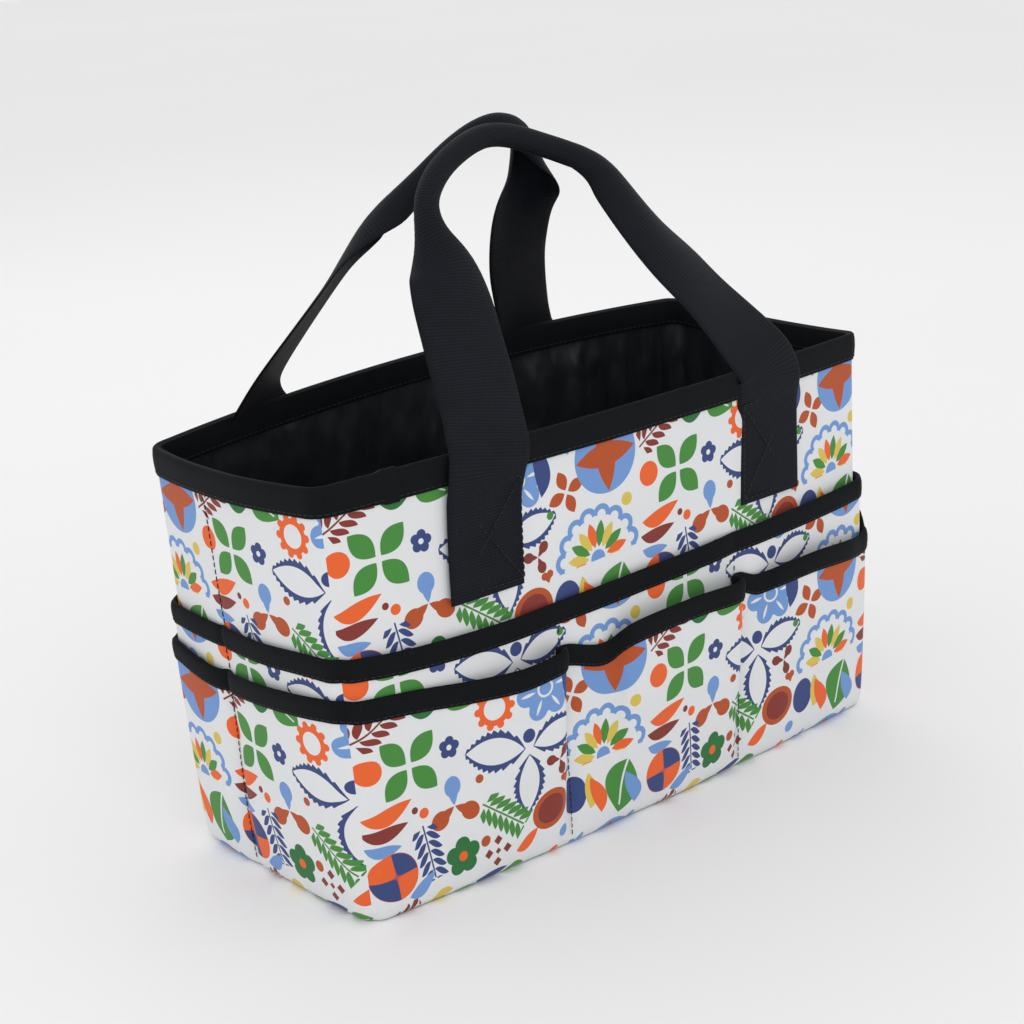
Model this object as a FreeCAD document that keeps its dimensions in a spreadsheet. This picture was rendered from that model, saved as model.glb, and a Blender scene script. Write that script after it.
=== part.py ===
"""Garden tool bag: an open tote with two tiers of outer pockets and two webbing handles.

Frame: +X along the bag, front wall towards -Y, +Z up.  The origin lies at the middle of the
base, on the surface that the bag stands on.  Lengths are in millimetres.

Every wall is a thin tapering plate.  It is drawn once as a front wall and turned about Z to its
own side, and whatever is sewn to a wall takes its place from that wall's taper.
"""
import FreeCAD, Part
import math
import os
import Sketcher
from FreeCAD import Placement, Rotation, Vector

doc = FreeCAD.newDocument("garden_tool_bag")

# ------------------------------------------------------------------ driving dimensions
SIZES = [
    ("rim_length", 320.0, "outer length of the bag at its rim"),
    ("rim_width", 140.0, "outer width of the bag at its rim"),
    ("base_length", 311.0, "outer length of the bag at its base"),
    ("base_width", 127.0, "outer width of the bag at its base"),
    ("bag_height", 192.0, "from the base to the top of the cloth walls"),
    ("cloth_thick", 1.2, "printed outer cloth with its backing"),
    ("lining_thick", 0.6, "lining cloth"),
    ("lining_gap", 0.2, "air between the outer cloth and the lining"),
    ("board_thick", 2.0, "stiffening board in the base"),
    ("board_inset", 3.0, "from the outside of the base to the edge of the board"),
    ("sewn_gap", 0.1, "clearance between pieces that are sewn face to face"),
    ("tape_width", 12.0, "binding tape of the rim, on one side of the edge"),
    ("pocket_tape", 9.0, "binding tape of the pockets, on one side of the edge"),
    ("tape_thick", 0.9, "binding tape"),
    ("pocket_thick", 0.8, "pocket cloth"),
    ("pocket_lift", 0.5, "air behind an upper pocket, which lies flat"),
    ("pocket_foot", 1.6, "height of the bottom edge of the pockets"),
    ("pocket_end", 1.0, "from a corner of the bag to the end of a pocket strip"),
    ("upper_top", 119.0, "height of the mouth of the upper pockets"),
    ("lower_top", 99.0, "height of the mouth of the lower pockets"),
    ("long_gape", 9.0, "space behind the mouth of a lower pocket on a long wall"),
    ("short_gape", 7.5, "space behind the mouth of a lower pocket on a short wall"),
    ("foot_gape", 0.4, "the same space at the foot of the pocket"),
    ("webbing_width", 40.0, "handle webbing, flat"),
    ("webbing_thick", 1.5, "handle webbing"),
    ("handle_spacing", 172.0, "between the middles of the two legs of a handle, at the rim"),
    ("tab_clear", 9.0, "from the mouth of the upper pockets up to the sewn ends of the webbing"),
    ("fold_gap", 0.2, "from the face of the sewn webbing to the line that the handle turns on"),
    ("rim_gap", 0.6, "from the rim up to the free webbing that leans over it"),
    ("waist_rise", 62.0, "from the fold line to where the webbing begins to roll"),
    ("waist_inset", 12.0, "how far the webbing has leaned inwards by then"),
    ("neck_spacing", 112.0, "between the two ends of the rolled grip"),
    ("neck_rise", 104.0, "from the fold line to the ends of the grip"),
    ("neck_lap", 3.0, "how far the flat webbing runs on into the rolled grip"),
    ("grip_rise", 131.0, "from the fold line to the middle of the grip"),
    ("grip_tall", 14.0, "section of the rolled grip, in the plane of the handle"),
    ("grip_deep", 10.0, "section of the rolled grip, across that plane"),
    ("core_gap", 0.2, "between the rolled webbing and its soft core"),
    ("core_inset", 9.0, "from an end of the rolled grip to the end of its core, in degrees of arc"),
    ("grip_meet", 2.0, "between the two grips where they lean together"),
]

sheet = doc.addObject("Spreadsheet::Sheet", "Sizes")
for row, (alias, number, meaning) in enumerate(SIZES, start=1):
    sheet.set(f"A{row}", meaning)
    sheet.set(f"B{row}", str(number))
    sheet.setAlias(f"B{row}", alias)
doc.recompute()


def cells(formula):
    """A formula in the sheet's aliases, written for an object's expression."""
    for alias, _, _ in sorted(SIZES, key=lambda entry: -len(entry[0])):
        formula = formula.replace(f"${alias}", f"Sizes.{alias}")
    return formula


NODES = []


def keep(piece, label):
    """Names a finished sub-part."""
    piece.Label = label
    NODES.append(piece)
    return piece


# ------------------------------------------------------------------ tapering walls
# A wall runs along "length" or "width", faces outwards along the other one, and is turned
# about Z from the front of the bag.
WALLS = {
    "front": ("length", "width", 0.0),
    "right": ("width", "length", 90.0),
    "back": ("length", "width", 180.0),
    "left": ("width", "length", 270.0),
}
LONG_WALLS = ("front", "back")


def reach(extent, height, offset):
    """Half of the bag's length or width at a height, plus an offset outwards."""
    taper = f"($rim_{extent} - $base_{extent}) * ({height}) / $bag_height"
    return f"(($base_{extent} + {taper}) / 2 + ({offset}))"


def plate(name, wall, low, high, run_low, run_high, face_low, face_high):
    """A tapering plate on a wall.

    low and high are its heights.  run_low and run_high are its two ends along the wall, and
    face_low and face_high its inner and outer faces, at those two heights.
    """
    solid = doc.addObject("Part::Wedge", name)
    bounds = {
        "Xmin": run_low[0], "Xmax": run_low[1], "X2min": run_high[0], "X2max": run_high[1],
        "Ymin": low, "Ymax": high,
        "Zmin": face_low[0], "Zmax": face_low[1], "Z2min": face_high[0], "Z2max": face_high[1],
    }
    for prop, formula in bounds.items():
        solid.setExpression(prop, cells(formula))
    upright = Rotation(Vector(1, 0, 0), 90)
    solid.Placement = Placement(Vector(), Rotation(Vector(0, 0, 1), WALLS[wall][2]) * upright)
    return solid


def wall_plate(name, wall, low, high, inner, outer, ends):
    """A plate that follows its wall's taper, with its faces and ends at given offsets."""
    run, depth, _ = WALLS[wall]
    half_low, half_high = reach(run, low, ends), reach(run, high, ends)
    return plate(
        name, wall, low, high,
        (f"-{half_low}", half_low), (f"-{half_high}", half_high),
        (reach(depth, low, inner[0]), reach(depth, low, outer[0])),
        (reach(depth, high, inner[1]), reach(depth, high, outer[1])),
    )


def block(name, low, high, offset_low, offset_high):
    """A solid tapering block as large as the bag, with its sides at given offsets."""
    half = {extent: (reach(extent, low, offset_low), reach(extent, high, offset_high))
            for extent in ("length", "width")}
    (run_low, run_high), (deep_low, deep_high) = half["length"], half["width"]
    return plate(
        name, "front", low, high,
        (f"-{run_low}", run_low), (f"-{run_high}", run_high),
        (f"-{deep_low}", deep_low), (f"-{deep_high}", deep_high),
    )


def cut(name, base, tool):
    """Part::Cut of two objects."""
    result = doc.addObject("Part::Cut", name)
    result.Base, result.Tool = base, tool
    return result


# ------------------------------------------------------------------ shell and lining
SHELL_FOOT = "($cloth_thick + $sewn_gap)"
CLOTH_TOP = "($bag_height - $tape_thick - $sewn_gap)"
LINING_FACE = "-($cloth_thick + $lining_gap)"
LINING_BACK = "-($cloth_thick + $lining_gap + $lining_thick)"
BOARD_TOP = "($cloth_thick + $sewn_gap + $board_thick)"
LINING_FOOT = f"({BOARD_TOP} + $sewn_gap)"


def outer_wall(wall):
    """Printed cloth.  The long walls run to the corners and the short walls fit between them."""
    ends = "0" if wall in LONG_WALLS else "-($cloth_thick + $sewn_gap)"
    name = "panel" if wall in LONG_WALLS else "side_panel"
    face = ("-$cloth_thick", "-$cloth_thick"), ("0", "0")
    return keep(wall_plate(f"{wall}_cloth", wall, SHELL_FOOT, CLOTH_TOP, *face, ends),
                f"{wall}_{name}")


def lining_wall(wall):
    """Lining cloth just inside the printed cloth, down to the lining of the base."""
    ends = LINING_FACE if wall in LONG_WALLS else f"{LINING_BACK} - $sewn_gap"
    foot = f"({LINING_FOOT} + $lining_thick + $sewn_gap)"
    face = (LINING_BACK, LINING_BACK), (LINING_FACE, LINING_FACE)
    return keep(wall_plate(f"{wall}_inside", wall, foot, CLOTH_TOP, *face, ends),
                f"{wall}_lining")


def base_layer(name, label, low, thick, offset):
    """One flat layer of the base."""
    return keep(block(name, low, f"({low} + {thick})", offset, offset), label)


for side in WALLS:
    outer_wall(side)
    lining_wall(side)
base_layer("base_cloth", "bottom_panel", "0", "$cloth_thick", "0")
base_layer("board", "base_board", SHELL_FOOT, "$board_thick", "-$board_inset")
base_layer("base_inside", "bottom_lining", LINING_FOOT, "$lining_thick", LINING_FACE)


# ------------------------------------------------------------------ binding round the rim
def rim_tape():
    """Tape folded over the rim: a ring with a slot below for the cloth and the lining."""
    foot = "($bag_height - $tape_width)"
    over = "($bag_height + 1)"
    outside = "($sewn_gap + $tape_thick)"
    inside = f"{LINING_BACK} - $sewn_gap - $tape_thick"
    ring = cut("rim_ring", block("rim_outside", foot, "$bag_height", outside, outside),
               block("rim_mouth", f"({foot} - 1)", over, inside, inside))
    slot = cut("rim_slot",
               block("slot_outside", f"({foot} - 1)", f"({CLOTH_TOP} + $sewn_gap)",
                     "$sewn_gap", "$sewn_gap"),
               block("slot_inside", f"({foot} - 2)", over,
                     f"{LINING_BACK} - $sewn_gap", f"{LINING_BACK} - $sewn_gap"))
    return keep(cut("rim_tape", ring, slot), "rim_binding")


rim_tape()

# ------------------------------------------------------------------ pockets
TAPE_GROWTH = "($sewn_gap + $tape_thick)"
STRIP_ENDS = "-$pocket_end"
UPPER_CLOTH_TOP = "($upper_top - $tape_thick - $sewn_gap)"
LOWER_CLOTH_TOP = "($lower_top - $tape_thick - $sewn_gap)"
UPPER_MOUTH = f"($sewn_gap + {TAPE_GROWTH})"


def along(height, top, foot, mouth):
    """Offset at a height of cloth that swings out evenly from the pocket's foot to its top."""
    share = f"(({height}) - $pocket_foot) / ({top} - $pocket_foot)"
    return f"({foot} + ({mouth} - {foot}) * {share})"


def upper_back(height):
    """Back face of an upper pocket, which leans out just enough to clear its own tape."""
    return along(height, UPPER_CLOTH_TOP, "$pocket_lift", UPPER_MOUTH)


def upper_face(height):
    """Outer face of an upper pocket."""
    return f"({upper_back(height)} + $pocket_thick)"


def lower_back(wall, height):
    """Back face of a lower pocket's cloth, which gapes away from the upper pocket."""
    gape = "$long_gape" if wall in LONG_WALLS else "$short_gape"
    return along(height, "$lower_top", "($pocket_lift + $pocket_thick + $foot_gape)",
                 f"($pocket_lift + $pocket_thick + {gape})")


def strip(name, wall, foot, top, back):
    """A strip of pocket cloth across a wall; back gives its back face at a height."""
    inner = (back(foot), back(top))
    outer = tuple(f"({offset} + $pocket_thick)" for offset in inner)
    return wall_plate(name, wall, foot, top, inner, outer, STRIP_ENDS)


def pocket_tape(name, wall, top, back):
    """Tape folded over the top edge of a strip, with a slot below for the cloth."""
    foot = f"({top} - $pocket_tape)"
    cloth_top = f"({top} - $tape_thick)"
    inner = (f"({back(foot)} - {TAPE_GROWTH})", f"({back(top)} - {TAPE_GROWTH})")
    outer = tuple(f"({back(height)} + $pocket_thick + {TAPE_GROWTH})" for height in (foot, top))
    cover = wall_plate(f"{name}_cover", wall, foot, top, inner, outer, STRIP_ENDS)
    below = f"({foot} - 1)"
    slot_in = tuple(f"({back(height)} - $sewn_gap)" for height in (below, cloth_top))
    slot_out = tuple(f"({back(height)} + $pocket_thick + $sewn_gap)"
                     for height in (below, cloth_top))
    slot = wall_plate(f"{name}_slot", wall, below, cloth_top, slot_in, slot_out, "1")
    return cut(name, cover, slot)


def upper_pocket(wall):
    """A flat strip of cloth across the wall, and the tape on its mouth."""
    keep(strip(f"{wall}_upper_cloth", wall, "$pocket_foot", UPPER_CLOTH_TOP, upper_back),
         f"{wall}_upper_pocket")
    keep(pocket_tape(f"{wall}_upper_tape", wall, "$upper_top", upper_back),
         f"{wall}_upper_binding")


def pleat(name, wall, middle_low, middle_high):
    """Doubled cloth that runs from the upper pocket out to the lower one, beside a seam."""
    low, high = "$pocket_foot", "($lower_top - $pocket_tape - $sewn_gap)"
    _, depth, _ = WALLS[wall]
    ends = [(f"({middle} - $pocket_thick)", f"({middle} + $pocket_thick)")
            for middle in (middle_low(low), middle_high(high))]
    faces = [(reach(depth, height, f"{upper_face(height)} + $sewn_gap"),
              reach(depth, height, f"{lower_back(wall, height)} + $pocket_thick / 2"))
             for height in (low, high)]
    return plate(name, wall, low, high, *ends, *faces)


def lower_pocket(wall):
    """A strip that gapes at its top, pleated back to the wall at its ends and its seams."""
    run, _, _ = WALLS[wall]
    pockets = 3 if wall in LONG_WALLS else 2
    parts = [strip(f"{wall}_lower_cloth", wall, "$pocket_foot", LOWER_CLOTH_TOP,
                   lambda height: lower_back(wall, height))]
    for number in range(pockets + 1):
        share = 2 * number / pockets - 1

        def middle(height):
            end = reach(run, height, f"{STRIP_ENDS} - $pocket_thick")
            return f"({share} * {end})"

        parts.append(pleat(f"{wall}_pleat_{number}", wall, middle, middle))
    strip_and_pleats = doc.addObject("Part::MultiFuse", f"{wall}_lower_fuse")
    strip_and_pleats.Shapes = parts
    keep(strip_and_pleats, f"{wall}_lower_pocket")
    keep(pocket_tape(f"{wall}_lower_tape", wall, "$lower_top",
                     lambda height: lower_back(wall, height)),
         f"{wall}_lower_binding")


for side in WALLS:
    upper_pocket(side)
    lower_pocket(side)

# ------------------------------------------------------------------ handles
# A handle is drawn upright with its fold line on the X axis and the webbing's outer face in
# the XZ plane.  It is then leaned over the bag and moved to its own side of the rim.
TAB_BACK = f"({TAPE_GROWTH} + $sewn_gap)"
FOLD_LINE = f"({TAB_BACK} + $webbing_thick + $fold_gap)"
HALF_NECK = "($neck_spacing / 2)"
GRIP_SAG = "($grip_rise - $neck_rise)"
GRIP_BEND = f"(({HALF_NECK} ^ 2 + {GRIP_SAG} ^ 2) / (2 * {GRIP_SAG}))"
BEND_MIDDLE = f"($grip_rise - {GRIP_BEND})"
NECK_SINE = f"({HALF_NECK} / {GRIP_BEND})"
NECK_COSINE = f"(($neck_rise - {BEND_MIDDLE}) / {GRIP_BEND})"
NECK_TURN = f"asin({NECK_SINE})"
GRIP_RADIUS = "(($grip_tall + $grip_deep) / 4)"
LEAN_SINE = f"(($rim_width / 2 + {FOLD_LINE} - {GRIP_RADIUS} - $grip_meet / 2) / $grip_rise)"
LEAN_ANGLE = f"asin({LEAN_SINE})"
LEG_START = f"(($rim_gap + $webbing_thick * {LEAN_SINE}) / sqrt(1 - {LEAN_SINE} ^ 2))"
# the wall that each handle is sewn to, and which way the bag's middle lies from it along Y
HANDLES = {"front": ("front", 1), "rear": ("back", -1)}


def sewn_tab(wall, end, sign):
    """The end of a handle's webbing, sewn flat on the wall outside the rim tape."""
    low, high = "($upper_top + $tab_clear)", "$bag_height"
    _, depth, _ = WALLS[wall]
    middle = f"({sign} * $handle_spacing / 2)"
    run = (f"({middle} - $webbing_width / 2)", f"({middle} + $webbing_width / 2)")
    faces = [(reach(depth, height, TAB_BACK), reach(depth, height, f"{TAB_BACK} + $webbing_thick"))
             for height in (low, high)]
    keep(plate(f"{wall}_{end}_webbing", wall, low, high, run, run, *faces), f"{wall}_{end}_tab")


def leg_outline():
    """Corners of the right leg: across at the rim, leaning in at the waist, narrow at the neck."""
    half = "$webbing_width / 2"
    foot = "($handle_spacing / 2)"
    waist = f"({foot} - $waist_inset)"
    roll = "($grip_tall / 2 - $webbing_thick / 2)"
    neck = [(f"({HALF_NECK} + {sign} * {roll} * {NECK_SINE} - $neck_lap * {NECK_COSINE})",
             f"($neck_rise + {sign} * {roll} * {NECK_COSINE} + $neck_lap * {NECK_SINE})")
            for sign in (1, -1)]
    return [
        (f"({foot} - {half})", LEG_START), (f"({foot} + {half})", LEG_START),
        (f"({waist} + {half})", "$waist_rise"), *neck, (f"({waist} - {half})", "$waist_rise"),
    ]


def draw_outline(sketch, prefix, corners, mirrored):
    """Closes straight lines through corners, each held by its distances from the origin."""
    first = sketch.GeometryCount
    count = len(corners)
    for number in range(count):
        turns = [2 * math.pi * step / count for step in (number, number + 1)]
        sketch.addGeometry(
            Part.LineSegment(*(Vector(math.cos(turn), math.sin(turn), 0) for turn in turns)), False)
    for number, (across, up) in enumerate(corners):
        line = first + number
        joined = first + (number + 1) % count
        sketch.addConstraint(Sketcher.Constraint("Coincident", line, 2, joined, 1))
        ends = (line, 1, -1, 1) if mirrored else (-1, 1, line, 1)
        places = (("DistanceX", ends, across), ("DistanceY", (-1, 1, line, 1), up))
        for kind, points, formula in places:
            name = f"{prefix}_{kind}_{number}"
            held = sketch.addConstraint(Sketcher.Constraint(kind, *points, 1.0))
            sketch.renameConstraint(held, name)
            sketch.setExpression(f"Constraints.{name}", cells(formula))


def handle_legs(name, inwards):
    """Both flat legs of a handle, as a pad of the leg's outline and its mirror image."""
    body = doc.addObject("PartDesign::Body", f"{name}_legs")
    plane = next(part for part in body.Origin.OriginFeatures if part.Role == "XZ_Plane")
    sketch = body.newObject("Sketcher::SketchObject", f"{name}_leg_outline")
    sketch.AttachmentSupport = [(plane, "")]
    sketch.MapMode = "FlatFace"
    draw_outline(sketch, "right", leg_outline(), False)
    draw_outline(sketch, "left", leg_outline(), True)
    pad = body.newObject("PartDesign::Pad", f"{name}_leg_webbing")
    pad.Profile = sketch
    pad.Reversed = inwards > 0
    pad.setExpression("Length", cells("$webbing_thick"))
    return body


def rolled_bar(name, inwards, shrink, half_turn):
    """A bent bar of oval section along the grip's arc; shrink comes off its radii."""
    oval = doc.addObject("Part::Ellipse", f"{name}_oval")
    oval.Placement = Placement(Vector(), Rotation(Vector(0, 1, 0), -90))
    oval.setExpression("MajorRadius", cells(f"$grip_tall / 2 - ({shrink})"))
    oval.setExpression("MinorRadius", cells(f"$grip_deep / 2 - ({shrink})"))
    oval.setExpression("Placement.Base.y", cells(f"{inwards} * $webbing_thick / 2"))
    oval.setExpression("Placement.Base.z", cells("$grip_rise"))
    bar = doc.addObject("Part::Revolution", name)
    bar.Source = oval
    bar.Axis = Vector(0, 1, 0)
    bar.Solid = True
    bar.Symmetric = True
    bar.setExpression("Base.z", cells(BEND_MIDDLE))
    bar.setExpression("Angle", cells(f"2 * ({half_turn})"))
    return bar


def lean(piece, inwards):
    """Moves an upright handle piece to the rim and leans it over the bag."""
    piece.Placement = Placement(Vector(), Rotation(Vector(-inwards, 0, 0), 1))
    piece.setExpression("Placement.Rotation.Angle", cells(LEAN_ANGLE))
    piece.setExpression("Placement.Base.y", cells(f"-{inwards} * ($rim_width / 2 + {FOLD_LINE})"))
    piece.setExpression("Placement.Base.z", cells("$bag_height"))
    return piece


def handle(name, wall, inwards):
    """One handle: the free webbing with its rolled grip, the grip's core and two sewn ends."""
    for end, sign in (("left", -1), ("right", 1)):
        # seen from outside its own wall, a back wall's left end lies towards +X
        sewn_tab(wall, end, sign)
    tube = cut(f"{name}_roll",
               rolled_bar(f"{name}_roll_outside", inwards, "0", NECK_TURN),
               rolled_bar(f"{name}_roll_inside", inwards, "$webbing_thick", NECK_TURN))
    webbing = doc.addObject("Part::MultiFuse", f"{name}_webbing")
    webbing.Shapes = [handle_legs(name, inwards), tube]
    keep(lean(webbing, inwards), f"{name}_handle_webbing")
    core = rolled_bar(f"{name}_core", inwards, "$webbing_thick + $core_gap",
                      f"{NECK_TURN} - $core_inset * 1deg")
    keep(lean(core, inwards), f"{name}_grip_core")


for name, (wall, inwards) in HANDLES.items():
    handle(name, wall, inwards)

# ------------------------------------------------------------------ check and write
doc.recompute()
for item in doc.Objects:
    faults = {"Invalid", "Error"} & set(item.State)
    if faults:
        raise RuntimeError(f"{item.Name} is {faults}")

os.makedirs("parts", exist_ok=True)
for piece in NODES:
    shape = piece.Shape
    if shape.isNull() or not shape.isValid() or not shape.Solids:
        raise RuntimeError(f"{piece.Label} has no sound shape")
    shape.exportStep(f"parts/{piece.Label}.step")
    print(f"{piece.Label}: {len(shape.Solids)} solid, {shape.Volume:.0f} mm3")
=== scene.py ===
"""The looks of the garden tool bag: a printed cloth tote with taped pockets and two webbing handles."""

import math

import bpy
import numpy as np
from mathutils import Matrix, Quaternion, Vector


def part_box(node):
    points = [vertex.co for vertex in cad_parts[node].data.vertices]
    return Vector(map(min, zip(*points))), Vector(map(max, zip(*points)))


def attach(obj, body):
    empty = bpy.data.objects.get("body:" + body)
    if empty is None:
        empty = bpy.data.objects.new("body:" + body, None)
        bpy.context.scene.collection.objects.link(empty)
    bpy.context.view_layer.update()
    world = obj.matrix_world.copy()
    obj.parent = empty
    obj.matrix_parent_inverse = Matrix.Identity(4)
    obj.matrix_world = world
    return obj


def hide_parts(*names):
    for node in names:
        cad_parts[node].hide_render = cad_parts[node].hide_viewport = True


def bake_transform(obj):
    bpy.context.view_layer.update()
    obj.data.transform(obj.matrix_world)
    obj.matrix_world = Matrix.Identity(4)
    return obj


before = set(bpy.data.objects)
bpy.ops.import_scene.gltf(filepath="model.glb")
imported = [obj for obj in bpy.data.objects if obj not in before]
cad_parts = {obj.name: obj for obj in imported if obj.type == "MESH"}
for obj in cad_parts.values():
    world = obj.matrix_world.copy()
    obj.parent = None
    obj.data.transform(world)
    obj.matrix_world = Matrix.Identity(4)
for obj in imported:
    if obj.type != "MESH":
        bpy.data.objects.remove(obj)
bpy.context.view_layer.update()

MM = 0.001

# ---------------------------------------------------------------- camera

CAMERA_TURN = math.radians(-38.82)
CAMERA_RISE = math.radians(17.78)
CAMERA_ROLL = math.radians(-4.44)
CAMERA_AWAY = 983.4 * MM
CAMERA_AIM = Vector((-10.3, 0.6, 131.1)) * MM
CAMERA_LENS = 74.85


def add_object(name, data):
    """A new object in the scene, with this mesh, camera or light."""
    thing = bpy.data.objects.new(name, data)
    bpy.context.scene.collection.objects.link(thing)
    return thing


def place_camera():
    """Stands the camera at the front left of the bag, a little above it."""
    back = Vector((
        math.sin(CAMERA_TURN) * math.cos(CAMERA_RISE),
        -math.cos(CAMERA_TURN) * math.cos(CAMERA_RISE),
        math.sin(CAMERA_RISE),
    ))
    camera = add_object("camera", bpy.data.cameras.new("camera"))
    camera.location = CAMERA_AIM + back * CAMERA_AWAY
    level = (-back).to_track_quat("-Z", "Y")
    camera.rotation_mode = "QUATERNION"
    camera.rotation_quaternion = level @ Quaternion((0, 0, 1), CAMERA_ROLL)
    camera.data.lens = CAMERA_LENS
    camera.data.clip_start = 0.05
    camera.data.clip_end = 20
    bpy.context.scene.camera = camera


place_camera()

# ---------------------------------------------------------------- sizes from the frame

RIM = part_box("front_left_tab")[1].z
RIM_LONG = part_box("front_panel")[1].x
RIM_DEEP = -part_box("front_panel")[0].y
BASE_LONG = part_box("bottom_panel")[1].x
BASE_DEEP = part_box("bottom_panel")[1].y
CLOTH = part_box("bottom_panel")[1].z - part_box("bottom_panel")[0].z
BOARD_LOW, BOARD_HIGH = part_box("base_board")
FLOOR_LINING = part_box("bottom_lining")
UPPER_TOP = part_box("front_upper_binding")[1].z
TAPE_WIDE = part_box("rim_binding")[1].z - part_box("rim_binding")[0].z
POCKET_TAPE_WIDE = UPPER_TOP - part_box("front_upper_binding")[0].z
TAB_LOW, TAB_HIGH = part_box("front_right_tab")
WEBBING_WIDE = TAB_HIGH.x - TAB_LOW.x
TAB_MIDDLE = (TAB_HIGH.x + TAB_LOW.x) / 2

SIDES = ("front", "right", "back", "left")
TURNS = {"front": 0, "right": 1, "back": 2, "left": 3}

# ---------------------------------------------------------------- the soft form of the bag

CORNER = 9 * MM
LONG_PULL = 0.2 * MM          # how far the rim's ends are drawn in
DEEP_PULL = 6.2 * MM          # how far the rim's corners are drawn in at front and back
BASE_EASE = 1.5 * MM
LONG_BOW = (5.3 * MM, 12.3 * MM)   # how far front and back swell, at the base and at the rim
DEEP_BOW = (0.8 * MM, 4.3 * MM)
ROLL_UNDER = 5 * MM
FOLD_AT = {"left": -16.5 * MM, "right": 16.5 * MM}    # the stitched crease down each end wall


def mix(a, b, t):
    return a + (b - a) * t


def ease(t):
    """0 to 1 with a soft start and end."""
    t = np.clip(t, 0, 1)
    return t * t * (3 - 2 * t)


def ripple(x, y, seed, size):
    """A gentle uneven swell between -1 and 1, about size metres from crest to crest."""
    draw = np.random.default_rng(seed)
    total = np.zeros(np.broadcast(x, y).shape)
    for _ in range(7):
        heading = draw.uniform(0, 2 * math.pi)
        length = size * draw.uniform(0.7, 1.9)
        start = draw.uniform(0, 2 * math.pi)
        total = total + np.sin(2 * math.pi * (x * math.cos(heading) + y * math.sin(heading)) / length + start)
    return total / 4.2


def half_long(z):
    return mix(BASE_LONG - BASE_EASE, RIM_LONG - LONG_PULL, z / RIM)


def half_deep(z):
    return mix(BASE_DEEP + BASE_EASE * 0.7, RIM_DEEP - DEEP_PULL, z / RIM)


def run_of(half):
    """Length of half a wall along the cloth, to the middle of the corner's bend."""
    return half - CORNER + CORNER * math.pi / 4


RUN = {side: run_of((half_long if side in ("front", "back") else half_deep)(RIM)) for side in SIDES}


def rim_sway(x, y):
    """How the rim rises and dips round the bag, in metres: racked a little, ends sagging."""
    e = np.clip(x / RIM_LONG, -1, 1)
    n = np.clip(y / (RIM_DEEP - DEEP_PULL), -1, 1)
    racked = -1.6 + 0.4 * e - 0.4 * n + 1.6 * e * n
    long_walls = (2.8 + 0.9 * n) * (1 - e ** 2)
    end_walls = -(2.2 + 1.1 * e) * (1 - n ** 2)
    return (racked + long_walls + end_walls) * MM


def wall(side, across, z, out=0.0):
    """Points of a wall's outer face, out metres proud of it; across runs left to right from outside."""
    across, z, out = np.broadcast_arrays(*(np.asarray(value, float) for value in (across, z, out)))
    is_long = side in ("front", "back")
    t = z / RIM
    half = half_long(z) if is_long else half_deep(z)
    depth = half_deep(z) if is_long else half_long(z)
    bow = mix(*(LONG_BOW if is_long else DEEP_BOW), t)
    along = np.abs(across) / RUN[side] * run_of(half)
    straight = np.minimum(along, half - CORNER)
    turn = np.maximum(along - straight, 0) / CORNER
    belly = 1 - (straight / (half - CORNER)) ** 2
    slack = ripple(across, z, 11 + TURNS[side], 70 * MM) * belly * (1 - 0.75 * ease((t - 0.75) / 0.25))
    below = 1 - ease((t - 0.9) / 0.06)
    seam = np.exp(-((RUN[side] - np.abs(across)) / (2.2 * MM)) ** 2)
    fold = 0 if is_long else np.exp(-((across - FOLD_AT[side]) / (1.7 * MM)) ** 2)
    out = out + 0.9 * MM * slack - 0.8 * MM * (seam + fold) * below
    out = out - 3.2 * MM * (1 - np.clip(z / ROLL_UNDER, 0, 1)) ** 2
    x = np.sign(across) * (straight + (CORNER + out) * np.sin(turn))
    y = -(depth - CORNER + (CORNER + out) * np.cos(turn) + bow * belly)
    quarter = TURNS[side] * math.pi / 2
    east = x * math.cos(quarter) - y * math.sin(quarter)
    north = x * math.sin(quarter) + y * math.cos(quarter)
    return np.stack([east, north, z + rim_sway(east, north) * np.clip(t, 0, 1.1) ** 2], -1)


# ---------------------------------------------------------------- meshes

def smooth_line(points, step, measured=3):
    """Even points on a smooth curve through the given ones; the first measured columns give its length."""
    p = np.array(points, float)
    p = np.vstack([2 * p[0] - p[1], p, 2 * p[-1] - p[-2]])
    t = np.linspace(0, 1, 30, endpoint=False)[:, None]
    pieces = []
    for a, b, c, d in zip(p, p[1:], p[2:], p[3:]):
        bend = (2 * a - 5 * b + 4 * c - d) * t ** 2 + (3 * b - a - 3 * c + d) * t ** 3
        pieces.append(0.5 * (2 * b + (c - a) * t + bend))
    fine = np.vstack(pieces + [p[-2:-1]])
    steps = np.linalg.norm(np.diff(fine[:, :measured], axis=0), axis=1)
    run = np.concatenate([[0], np.cumsum(steps)])
    even = np.linspace(0, run[-1], max(2, int(round(run[-1] / step)) + 1))
    return np.stack([np.interp(even, run, fine[:, k]) for k in range(fine.shape[1])], 1)


def unit(v):
    return v / np.maximum(np.linalg.norm(v, axis=-1, keepdims=True), 1e-12)


def run_along(points):
    """Distance along a line of points, from its first."""
    return np.concatenate([[0], np.cumsum(np.linalg.norm(np.diff(points, axis=0), axis=1))])


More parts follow.
